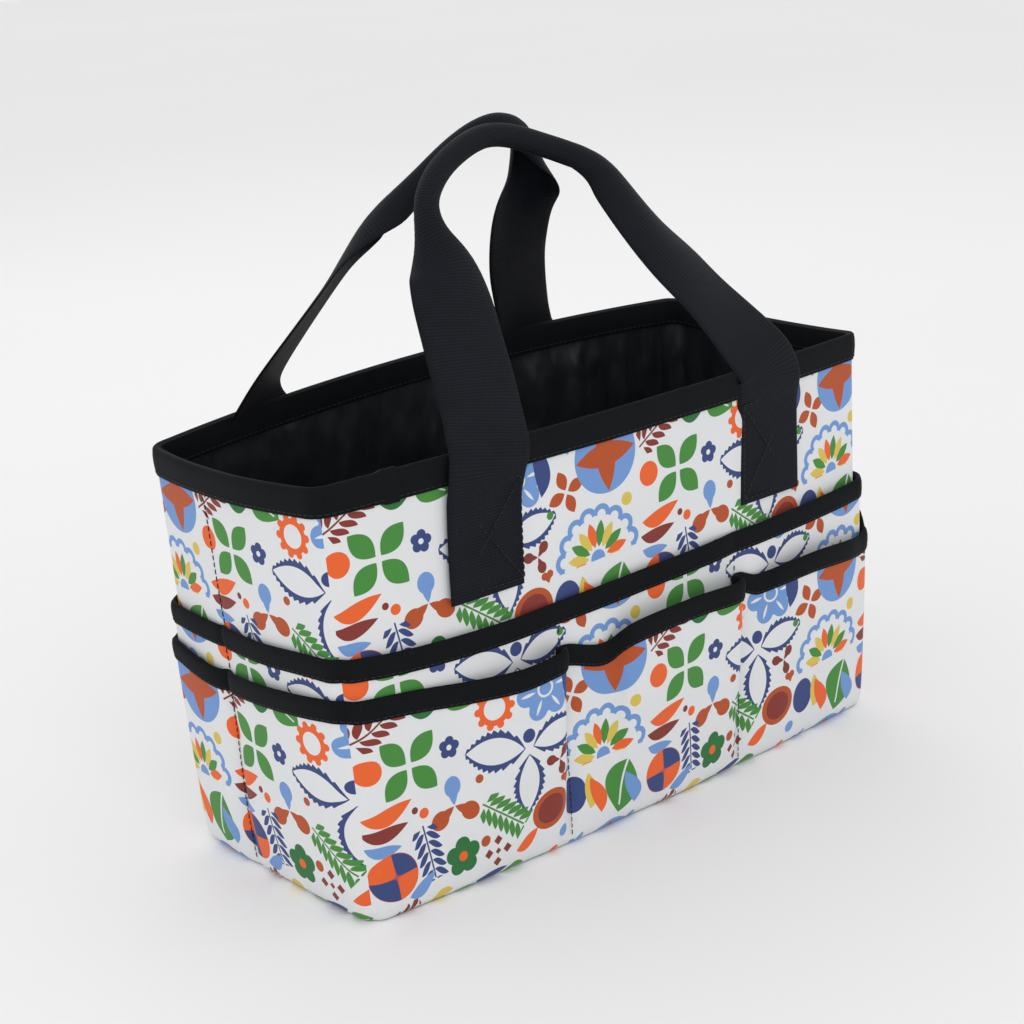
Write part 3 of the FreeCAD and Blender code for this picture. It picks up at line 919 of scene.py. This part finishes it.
def tape_flat(along, face):
    """Where the tape's points lay before it was folded: along its length, and across its width."""
    width = run_along(face)
    flat = np.stack(np.meshgrid(along, width, indexing="ij"), -1)
    return skin(flat, flat)


LAP_AT = -130 * MM
LAP_RUN = 7 * MM
RIM_STEP = 3 * MM
RIM_GAP_OUT = 0.1 * MM             # from the wall's outer face out to the tape
RIM_GAP_IN = CLOTH + 0.9 * MM      # from there in to the tape's other leg, past cloth and lining


def rim_walk(step):
    """(side, across) once round the rim from the lap, and a little over it again."""
    legs = [("front", LAP_AT, RUN["front"])]
    legs += [(side, -RUN[side], RUN[side]) for side in SIDES[1:]]
    legs += [("front", -RUN["front"], LAP_AT + LAP_RUN)]
    for side, start, end in legs:
        count = max(2, int(round((end - start) / step)) + 1)
        last = count if (side, start) == ("front", -RUN["front"]) else count - 1
        yield side, np.linspace(start, end, count)[:last]


def rim_rings(offsets, step):
    """Points (n, k, 3) once round the rim, at each of k offsets (out, up) from its edge."""
    out, up = offsets.T[:, None]
    return np.concatenate([wall(side, s[:, None], RIM + up - 0.6 * MM, out) for side, s in rim_walk(step)])


def make_rim_tape():
    face, back = tape_profile(RIM_GAP_OUT, RIM_GAP_IN)
    outer = rim_rings(face, RIM_STEP)
    inner = rim_rings(back, RIM_STEP)
    middle = rim_rings(np.array([[-0.5 * RIM_GAP_IN, -0.5 * TAPE_WIDE]]), RIM_STEP)[:, 0]
    along = run_along(middle)
    lap = ease((along - along[-1] + LAP_RUN + 1 * MM) / (1 * MM))[:, None, None]
    lift = unit(outer - middle[:, None]) * lap * TAPE_THICK * 1.1
    piece = loft("rim_tape", skin(outer + lift, inner + lift), tape_flat(along, face), TAPE)
    finish_piece(piece, "bag", ["rim_binding"])
    run_along(face)[-1]


make_rim_tape()

# ---------------------------------------------------------------- pockets

POCKET_THICK = 0.8 * MM
FRONT_END = RUN["front"] / MM
SIDE_END = RUN["left"] / MM

# Each bay: (across, proud, top) along its top edge, in millimetres, from one seam to the next.
LONG_LOWER = [
    [(-FRONT_END, 2.8, 101), (-150, 3.2, 100), (-128, 4.0, 98), (-100, 6.2, 94.6), (-78, 9.0, 93.4),
     (-62, 10.4, 95), (-55.5, 10.2, 96), (-52.6, 7.4, 96), (-53.6, 4.6, 95.4), (-51, 3.0, 95)],
    [(-51, 3.0, 95), (-46, 3.4, 94.6), (-38, 4.0, 92), (-31, 4.3, 90.2), (-25, 4.8, 90.6), (-21.5, 6.8, 93.2),
     (-18.6, 9.4, 96), (-13, 10.7, 97.6), (3, 10.8, 98.2), (28, 10.6, 98), (47, 10.8, 97), (55, 10.2, 96.8),
     (58.2, 7.2, 97), (57, 4.6, 97.2), (59, 3.0, 97.4)],
    [(59, 3.0, 97.4), (63, 3.4, 97), (71, 4.2, 93.8), (78, 5.6, 93.8), (88, 8.4, 95), (110, 10.0, 95.6),
     (135, 9.6, 93.4), (148, 7.4, 92), (FRONT_END, 5.0, 92.5)],
]
LONG_UPPER = [
    [(-FRONT_END, 1.3, 118.6), (-135, 2.2, 116.2), (-112, 2.6, 115), (-80, 2.6, 114.4), (-51, 1.4, 114.8)],
    [(-51, 1.4, 114.8), (-30, 2.4, 115.6), (0, 2.8, 116.4), (38, 2.6, 117), (59, 1.4, 117.2)],
    [(59, 1.4, 117.2), (80, 2.6, 117.4), (110, 3.2, 117.8), (140, 3.4, 118.2), (FRONT_END, 3.2, 119)],
]
LEFT_LOWER = [
    [(-SIDE_END, 3.6, 101), (-54, 4.4, 100.6), (-38, 4.8, 98.4), (-25, 4.2, 96.4), (-16.5, 2.6, 96)],
    [(-16.5, 2.6, 96), (-8, 4.0, 96.8), (14, 5.0, 98.6), (40, 4.6, 100.4), (56, 3.2, 101.4),
     (SIDE_END, 2.6, 101)],
]
LEFT_UPPER = [
    [(-SIDE_END, 1.8, 119), (-42, 2.2, 118), (-16.5, 1.3, 117)],
    [(-16.5, 1.3, 117), (16, 2.0, 117.6), (44, 1.9, 118.8), (SIDE_END, 1.3, 118.6)],
]


def turned_over(bays):
    """The same bays seen the other way round."""
    return [[(-x, proud, top) for x, proud, top in bay[::-1]] for bay in bays[::-1]]


def corner_matched(bays, left, right):
    """Bays whose two ends meet their neighbours: (proud, top) at the left and at the right corner."""
    bays = [list(bay) for bay in bays]
    bays[0][0] = (bays[0][0][0], *left)
    bays[-1][-1] = (bays[-1][-1][0], *right)
    return bays


def pocket_line(bays, step):
    """Top-edge points (across, proud, top), the same cloth pressed flat, its length so far, and the seams."""
    tops, flats, lengths, seams = [], [], [], [0]
    total = 0.0
    for bay in bays:
        line = smooth_line(np.array(bay) * MM, step, measured=2)
        run = run_along(line[:, :2])
        flat = mix(line[0, 0], line[-1, 0], run / run[-1])
        keep = slice(0, len(line) if bay is bays[-1] else len(line) - 1)
        tops.append(line[keep])
        flats.append(flat[keep])
        lengths.append(total + run[keep])
        total += run[-1]
        seams.append(seams[-1] + len(line) - 1)
    return np.concatenate(tops), np.concatenate(flats), np.concatenate(lengths), seams


class PocketCloth:
    """One tier of pockets on one wall."""

    def __init__(self, side, tier, bays):
        self.side = side
        self.tier = tier
        self.foot, self.belly, self.groove = {"lower": (2.2 * MM, 1.7 * MM, 1.2 * MM),
                                              "upper": (0.9 * MM, 0.5 * MM, 0.35 * MM)}[tier]
        self.top, self.flat, self.length, self.seams = pocket_line(bays, 1.6 * MM)

    def at(self, z):
        """Points at heights z (n, m), one row for each point of the top edge."""
        x, proud, top = (self.top[:, k:k + 1] for k in range(3))
        up = z / top
        full = up * (1.6 - 0.6 * up)
        x = mix(self.flat[:, None], x, np.clip(full, 0, 1.1) ** 1.25)
        slack = ripple(self.length[:, None] + 0 * z, z, 60 + TURNS[self.side], 45 * MM)
        away = np.abs(self.length[:, None] - self.length[self.seams][None]).min(1)[:, None]
        held = 1 - np.exp(-(away / (9 * MM)) ** 2)
        inner = np.abs(self.length[:, None] - self.length[self.seams[1:-1]][None]).min(1)[:, None]
        risen = np.clip(up, 0, 1)
        groove = np.exp(-(inner / (3.2 * MM)) ** 2) * self.groove * np.clip(up * 9, 0, 1) * (1 - 0.6 * risen)
        belly = held * self.belly * np.clip(up * 7, 0, 1) * np.clip(1.15 - up, 0, 1)
        loose = 0.55 * MM * slack * held * np.sin(risen * math.pi)
        return wall(self.side, x, z, mix(self.foot, proud, full) + loose + belly - groove)

    def faced(self, z, off):
        """The same points moved off metres along the cloth's own outward normal."""
        here = self.at(z)
        return here + normals_of(here, self.at(z + 0.4 * MM)) * off


def make_pocket(cloth):
    name = cloth.side + "_" + cloth.tier + "_pocket"
    share = np.concatenate([[0.006, 0.02, 0.04, 0.07], np.linspace(0.1, 1, 38)])
    z = share[None, :] * (cloth.top[:, 2:3] - 0.5 * MM)
    half = POCKET_THICK / 2
    printed_at = cloth.length[:, None] - RUN[cloth.side] + PRINT_SHIFT[cloth.side]
    flat = np.stack([np.broadcast_to(printed_at, z.shape), z + PRINT_DROP[cloth.tier]], -1)
    piece = loft(name + "_cloth", skin(cloth.faced(z, half), cloth.faced(z, -half)), skin(flat, flat), PRINT)
    finish_piece(piece, "bag", [name])


def make_pocket_tape(cloth):
    name = cloth.side + "_" + cloth.tier + "_binding"
    face, back = tape_profile(POCKET_THICK / 2, POCKET_THICK / 2, POCKET_TAPE_WIDE)
    top = cloth.top[:, 2:3]
    outer = np.stack([cloth.faced(top + up, off)[:, 0] for off, up in face], 1)
    inner = np.stack([cloth.faced(top + up, off)[:, 0] for off, up in back], 1)
    piece = loft(name + "_tape", skin(outer, inner), tape_flat(cloth.length, face), TAPE)
    finish_piece(piece, "bag", [name])
    run_along(face)[-1]
    cloth.side + "_" + cloth.tier + "_pocket_cloth"


PRINT_DROP = {"lower": 90 * MM, "upper": 52 * MM}
CORNERS = {                      # (proud, top) in millimetres where two walls' pockets meet
    "lower": {"front_left": (2.8, 101), "front_right": (5.0, 92.8),
              "back_right": (4.0, 98), "back_left": (4.0, 99.8)},
    "upper": {"front_left": (1.3, 118.6), "front_right": (3.0, 118.8),
              "back_right": (2.0, 118), "back_left": (2.2, 118)},
}
MEETS = {"front": ("front_left", "front_right"), "right": ("front_right", "back_right"),
         "back": ("back_right", "back_left"), "left": ("back_left", "front_left")}
BAYS = {
    ("front", "lower"): LONG_LOWER, ("front", "upper"): LONG_UPPER,
    ("back", "lower"): turned_over(LONG_LOWER), ("back", "upper"): turned_over(LONG_UPPER),
    ("left", "lower"): LEFT_LOWER, ("left", "upper"): LEFT_UPPER,
    ("right", "lower"): turned_over(LEFT_LOWER), ("right", "upper"): turned_over(LEFT_UPPER),
}
POCKETS = {}
for (side, tier), bays in BAYS.items():
    left, right = MEETS[side]
    ends = CORNERS[tier]
    POCKETS[side, tier] = PocketCloth(side, tier, corner_matched(bays, ends[left], ends[right]))
for cloth in POCKETS.values():
    make_pocket(cloth)
    make_pocket_tape(cloth)

# ---------------------------------------------------------------- handles

WEBBING_THICK = 1.4 * MM
TAB_STANDS = 0.85 * MM       # how far the webbing's middle stands out from the wall, sewn down
RIM_STANDS = 2.9 * MM        # and over the rim tape
REACH_IN = 7 * MM            # the stretch in which it lifts from one to the other
TAB_OUT = TAB_MIDDLE - 1.8 * MM
TAB_AT = {"front": (-TAB_OUT, TAB_OUT), "back": (-TAB_OUT + 10 * MM, TAB_OUT + 7 * MM)}
LEAN = math.radians(30.2)

# A handle's webbing from left to right, seen from outside: (across, up the handle) in millimetres, turn in
# degrees and how far it is rolled, 0 to 1. It leaves the rim, runs flat, folds in to the grip, and opens.
ROUTES = {"front": [
    (-81, -6, 0, 0), (-79, 4, 5, 0),
    (-74, 23, 5, 0.05), (-70, 48, 5, 0.05), (-65, 67, 10, 0.15),
    (-62, 80, 5, 0.25), (-65, 95, 30, 0.7),
    (-60, 110, 85, 1), (-41, 125, 90, 1), (-12, 133, 90, 1), (18, 121, 90, 1),
    (37, 111, 45, 0.7), (44, 102, 30, 0.45),
    (58, 64, 20, 0.15), (69, 38, 20, 0.05),
    (84, 3, 5, 0), (85, -6, 0, 0),
], "back": [
    (-67, -7, 0, 0), (-65, 2, -5, 0),
    (-53, 30, -10, 0.05), (-44, 52, -5, 0.05), (-37, 75, 0, 0.1),
    (-34, 92, 10, 0.25), (-33, 104, 25, 0.5),
    (-21, 126, 85, 1), (-2, 135, 90, 1), (17, 127, 90, 1),
    (37, 107, 85, 0.85), (57, 93, 45, 0.4), (64, 79, 35, 0.15),
    (70, 64, 40, 0.05), (92, 18, 35, 0),
    (96, 4, 25, 0), (95, -6, 10, 0),
]}
ROLL_RADIUS = WEBBING_WIDE / (2 * math.pi)


def strap_path(side):
    """Centre line (n, 3) of a handle in the frame of the front wall, with its turn and roll."""
    step = 2.4 * MM
    route = np.array(ROUTES[side], float)
    line = smooth_line(route * [MM, MM, 1, 1], step, measured=2)
    feet = []
    for end in (0, -1):
        z = np.arange(TAB_LOW.z + 0.6 * MM, RIM - REACH_IN, step)
        up = (z - z[0]) / (RIM - z[0])
        middle = mix(TAB_AT[side][end], route[end, 0] * MM, up ** 1.5)
        out = mix(TAB_STANDS, RIM_STANDS, ease((z - RIM + TAPE_WIDE + REACH_IN) / REACH_IN))
        foot = wall("front", middle, z, out)
        foot[:, 0] = middle
        feet.append(foot if end == 0 else foot[::-1])
    ends = [feet[0][-1, 0], feet[1][0, 0]]
    start = np.interp(line[:, 0], ends, [feet[0][-1, 1], feet[1][0, 1]])
    base = np.interp(line[:, 0], ends, [feet[0][-1, 2], feet[1][0, 2]]) + REACH_IN
    up = line[:, 1]
    lean = np.where(up > 0, up, 0)
    height = base + lean * math.cos(LEAN) + np.minimum(up, 0)
    rise = np.stack([line[:, 0], start + lean * math.sin(LEAN), height], -1)
    path = np.concatenate([feet[0], rise, feet[1]])
    turn = np.concatenate([np.zeros(len(feet[0])), line[:, 2], np.zeros(len(feet[1]))])
    roll = np.concatenate([np.zeros(len(feet[0])), line[:, 3], np.zeros(len(feet[1]))])
    for _ in range(3):
        path[1:-1] = (path[:-2] + 2 * path[1:-1] + path[2:]) / 4
    return path, np.radians(turn), np.clip(roll, 0, 1)


def strap_frames(path, turn):
    """Which way the webbing faces and which way it is wide, at each point of its path."""
    ahead = unit(np.gradient(path, axis=0))
    facing = np.array([0, -1, 0.25]) - (ahead @ np.array([0, -1, 0.25]))[:, None] * ahead
    facing = unit(facing)
    side_on = np.cross(ahead, facing)
    facing = facing * np.cos(turn)[:, None] - side_on * np.sin(turn)[:, None]
    return facing, np.cross(ahead, facing)


def strap_section(roll, u, off):
    """(sideways, outward) of points u across the webbing when it is rolled so far, off its middle."""
    angle = np.maximum(roll * 2 * math.pi * 0.97, 0.03)
    radius = WEBBING_WIDE / angle
    a = u / radius
    tuck = mix(1.0, 0.74, ease(roll))
    sideways = ((radius + off) * np.sin(a)) * tuck * mix(1.0, 0.95, roll)
    outward = ((radius + off) * np.cos(a) - radius + ROLL_RADIUS * ease(roll)) * tuck
    return sideways, outward


def placed(side, points):
    """Points worked out for the front wall, where they lie for this side."""
    return points if side == "front" else points * [-1, -1, 1]


def make_handle(side):
    body = {"front": "front_handle", "back": "rear_handle"}[side]
    path, turn, roll = strap_path(side)
    facing, beside = strap_frames(path, turn)
    u = np.linspace(-1, 1, 25)
    u = np.sign(u) * (1 - (1 - np.abs(u)) ** 1.5) * WEBBING_WIDE / 2
    edge = np.sqrt(np.maximum(1 - np.abs(u / (WEBBING_WIDE / 2)) ** 14, 0.04)) * WEBBING_THICK / 2
    faces = []
    for sign in (1, -1):
        sideways, outward = strap_section(roll[:, None], u[None, :], sign * edge[None, :])
        moved = facing[:, None] * outward[..., None] - beside[:, None] * sideways[..., None]
        faces.append(path[:, None] + moved)
    rings = skin(*faces)
    shift = ease((rings[1:-1, :1, 2:] - RIM - 2 * MM) / (8 * MM))
    for _ in range(8):
        rings[1:-1] += shift * (rings[:-2] - 2 * rings[1:-1] + rings[2:]) / 4
    along = run_along(path)
    flat = np.stack(np.meshgrid(along, u, indexing="ij"), -1)
    piece = loft(body + "_webbing_strap", placed(side, rings), skin(flat, flat), WEBBING, sharp=70)
    nodes = [body + "_webbing", side + "_left_tab", side + "_right_tab"]
    finish_piece(piece, None, nodes)
    sign = -1 if side == "front" else 1
    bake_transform(piece)
    make_core(side, body, path, facing, beside, roll)


def make_core(side, body, path, facing, beside, roll):
    """The foam cord inside the rolled grip."""
    inside = np.where(roll > 0.9)[0]
    p, f, b = path[inside], facing[inside], beside[inside]
    a = np.linspace(0, 2 * math.pi, 14, endpoint=False)
    tall = (ROLL_RADIUS - WEBBING_THICK * 0.8) * 0.74
    taper = np.ones(len(inside))
    taper[[0, -1]] = 0.55
    taper[[1, -2]] = 0.9
    rings = (p[:, None] + f[:, None] * (np.cos(a) * tall)[None, :, None] * taper[:, None, None]
             - b[:, None] * (np.sin(a) * tall * 0.92)[None, :, None] * taper[:, None, None])
    along = run_along(p)
    flat = np.stack(np.meshgrid(along, np.linspace(0, 1, len(a) + 1) * 2 * math.pi * tall, indexing="ij"), -1)
    node = body.replace("handle", "grip_core")
    piece = loft(node + "_cord", placed(side, rings), flat, FOAM)
    finish_piece(piece, body, [node])


make_handle("front")
make_handle("back")

# ---------------------------------------------------------------- sewing

STITCH = 2.5 * MM
STITCH_PITCH = 3.1 * MM
THREAD_RADIUS = 0.24 * MM
ON_TAPE = 1.12 * TAPE_THICK        # how far out a stitch lies on a tape of this thickness
BAR_SIDES = 6
BAR_RINGS = (                      # (place along a stitch, thickness, height), in shares of its size
    (0, 0.45, -0.8), (0.14, 0.95, 0.1), (0.5, 1.05, 0.45), (0.86, 0.95, 0.1), (1, 0.45, -0.8))


def stitch_bars(lines):
    """Start, end and outward direction (n, 3) of each stitch along lines of (points, outward directions)."""
    starts, ends, normals = [], [], []
    for points, facing in lines:
        run = run_along(points)
        count = max(1, int(run[-1] / STITCH_PITCH))
        middle = (np.arange(count) + 0.5) * run[-1] / count
        starts.append(np.stack([np.interp(middle - STITCH / 2, run, points[:, c]) for c in range(3)], 1))
        ends.append(np.stack([np.interp(middle + STITCH / 2, run, points[:, c]) for c in range(3)], 1))
        normals.append(unit(np.stack([np.interp(middle, run, facing[:, c]) for c in range(3)], 1)))
    return np.concatenate(starts), np.concatenate(ends), np.concatenate(normals)


def sew(name, lines):
    """Rows of stitches along lines of (points, outward directions), as one piece."""
    start, end, normal = stitch_bars(lines)
    beside = np.cross(unit(end - start), normal)
    rings = []
    for share, width, sink in BAR_RINGS:
        centre = start + (end - start) * share + normal * sink * THREAD_RADIUS
        for a in np.linspace(0, 2 * math.pi, BAR_SIDES, endpoint=False):
            rings.append(centre + (beside * math.cos(a) + normal * math.sin(a)) * THREAD_RADIUS * width)
    bars, points = len(start), len(BAR_RINGS) * BAR_SIDES
    faces = [tuple(range(BAR_SIDES)), tuple(range(points - 1, points - BAR_SIDES - 1, -1))]
    for low in range(0, points - BAR_SIDES, BAR_SIDES):
        for k in range(BAR_SIDES):
            beyond = (k + 1) % BAR_SIDES
            faces.append((low + BAR_SIDES + k, low + BAR_SIDES + beyond, low + beyond, low + k))
    mesh = bpy.data.meshes.new(name)
    mesh.from_pydata(np.stack(rings, 1).reshape(-1, 3).tolist(), [],
                     [tuple(v + points * bar for v in face) for bar in range(bars) for face in faces])
    along = np.arange(bars)[:, None] + np.array([share for share, _, _ in BAR_RINGS])
    flat = np.stack(np.broadcast_arrays(along[..., None] * STITCH, np.arange(BAR_SIDES) * THREAD_RADIUS), -1)
    corner = np.zeros(len(mesh.loops), int)
    mesh.loops.foreach_get("vertex_index", corner)
    layer = mesh.uv_layers.new(name="cloth")
    layer.data.foreach_set("uv", flat.reshape(-1, 2)[corner].astype(np.float32).ravel())
    mesh.polygons.foreach_set("use_smooth", [True] * len(mesh.polygons))
    mesh.materials.append(THREAD)
    mesh.update()
    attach(add_object(name, mesh), "bag")


def sew_rim():
    """A row of stitches along both legs of the rim tape."""
    down = -0.87 * TAPE_WIDE
    lines = []
    for place, base in ((RIM_GAP_OUT + ON_TAPE, RIM_GAP_OUT), (-RIM_GAP_IN - ON_TAPE, -CLOTH)):
        row, under = rim_rings(np.array([[place, down], [base, down]]), RIM_STEP).transpose(1, 0, 2)
        lines.append((row, unit(row - under)))
    sew("rim_stitches", lines)


def sew_pocket_tape(cloth):
    z = cloth.top[:, 2:3] - 0.86 * POCKET_TAPE_WIDE
    base = cloth.at(z)
    row = cloth.faced(z, POCKET_THICK / 2 + ON_TAPE)
    sew(cloth.side + "_" + cloth.tier + "_binding_stitches", [(row[:, 0], unit(row - base)[:, 0])])


def sew_down(side):
    """The upright seams that part the pockets, and the crease down an end wall."""
    lower, upper = POCKETS[side, "lower"], POCKETS[side, "upper"]
    lines = []
    for k, seam in enumerate(lower.seams[1:-1]):
        across = lower.flat[seam]
        low_top, up_top = lower.top[seam, 2], upper.top[upper.seams[k + 1], 2]
        spans = [(5 * MM, low_top - POCKET_TAPE_WIDE, lower.foot, lower.top[seam, 1]),
                 (low_top + 1 * MM, up_top - POCKET_TAPE_WIDE, 0.9 * MM, upper.top[upper.seams[k + 1], 1])]
        if side in FOLD_AT:
            spans.append((up_top + 1 * MM, RIM - TAPE_WIDE - 1 * MM, 0.0, 0.0))
        for start, end, foot, proud in spans:
            z = np.arange(start, end, 1.5 * MM)
            out = mix(foot, proud, z / end) + POCKET_THICK / 2 if foot else np.full(len(z), 0.1 * MM)
            here = wall(side, across, z, out + 0.15 * MM)
            lines.append((here, unit(here - wall(side, across, z, out - 1 * MM))))
    sew(side + "_seam_stitches", lines)


def sew_tabs(side):
    """A stitched box with a cross on the foot of each handle strap."""
    half = WEBBING_WIDE / 2 - 3 * MM
    low = TAB_LOW.z + 3.5 * MM
    high = RIM - TAPE_WIDE - 4 * MM
    lines = []
    for end, middle in zip((0, -1), TAB_AT[side]):
        lean = ROUTES[side][end][0] * MM - middle
        corners = [(-half, low), (half, low), (half, high), (-half, high)]
        strokes = [(corners[k], corners[(k + 1) % 4]) for k in range(4)]
        strokes += [(corners[0], corners[2]), (corners[1], corners[3])]
        for (x0, z0), (x1, z1) in strokes:
            t = np.linspace(0, 1, 20)
            z = mix(z0, z1, t)
            x = middle + mix(x0, x1, t) + lean * ((z - TAB_LOW.z) / (RIM - TAB_LOW.z)) ** 1.5
            out = TAB_STANDS + WEBBING_THICK / 2 + 0.12 * MM
            here = wall("front", x, z, out)
            facing = unit(here - wall("front", x, z, out - 1 * MM))
            lines.append((placed(side, here), placed(side, facing)))
    sew(side + "_tab_stitches", lines)


sew_rim()
for cloth in POCKETS.values():
    sew_pocket_tape(cloth)
for side in SIDES:
    sew_down(side)
for side in ("front", "back"):
    sew_tabs(side)

# ---------------------------------------------------------------- studio

def area_light(name, place, aim, size, power):
    data = bpy.data.lights.new(name, "AREA")
    data.energy = power
    data.size = size
    light = add_object(name, data)
    light.location = place
    light.rotation_mode = "QUATERNION"
    light.rotation_quaternion = (Vector(aim) - Vector(place)).to_track_quat("-Z", "Y")


def make_studio():
    bpy.ops.mesh.primitive_plane_add(size=12)
    floor = bpy.context.object
    floor.name = "studio_floor"
    floor.location.z = -0.2 * MM
    floor.data.uv_layers[0].name = "cloth"
    floor.data.materials.append(studio_paper())
    world = bpy.data.worlds.new("studio")
    bpy.context.scene.world = world
    world.use_nodes = True
    world.node_tree.nodes["Background"].inputs["Color"].default_value = (1, 1, 1, 1)
    world.node_tree.nodes["Background"].inputs["Strength"].default_value = 0.86
    area_light("key", (-0.6, -1.4, 1.3), (0, 0, 0.12), 0.9, 3.5)
    area_light("fill", (-1.5, 0.1, 0.9), (0, 0, 0.12), 1.2, 1.0)
    area_light("back", (0.6, 1.2, 1.4), (0, 0, 0.15), 0.9, 2.5)
    bpy.context.scene.view_settings.view_transform = "Standard"


make_studio()

# ---------------------------------------------------------------- the end

bpy.context.view_layer.update()
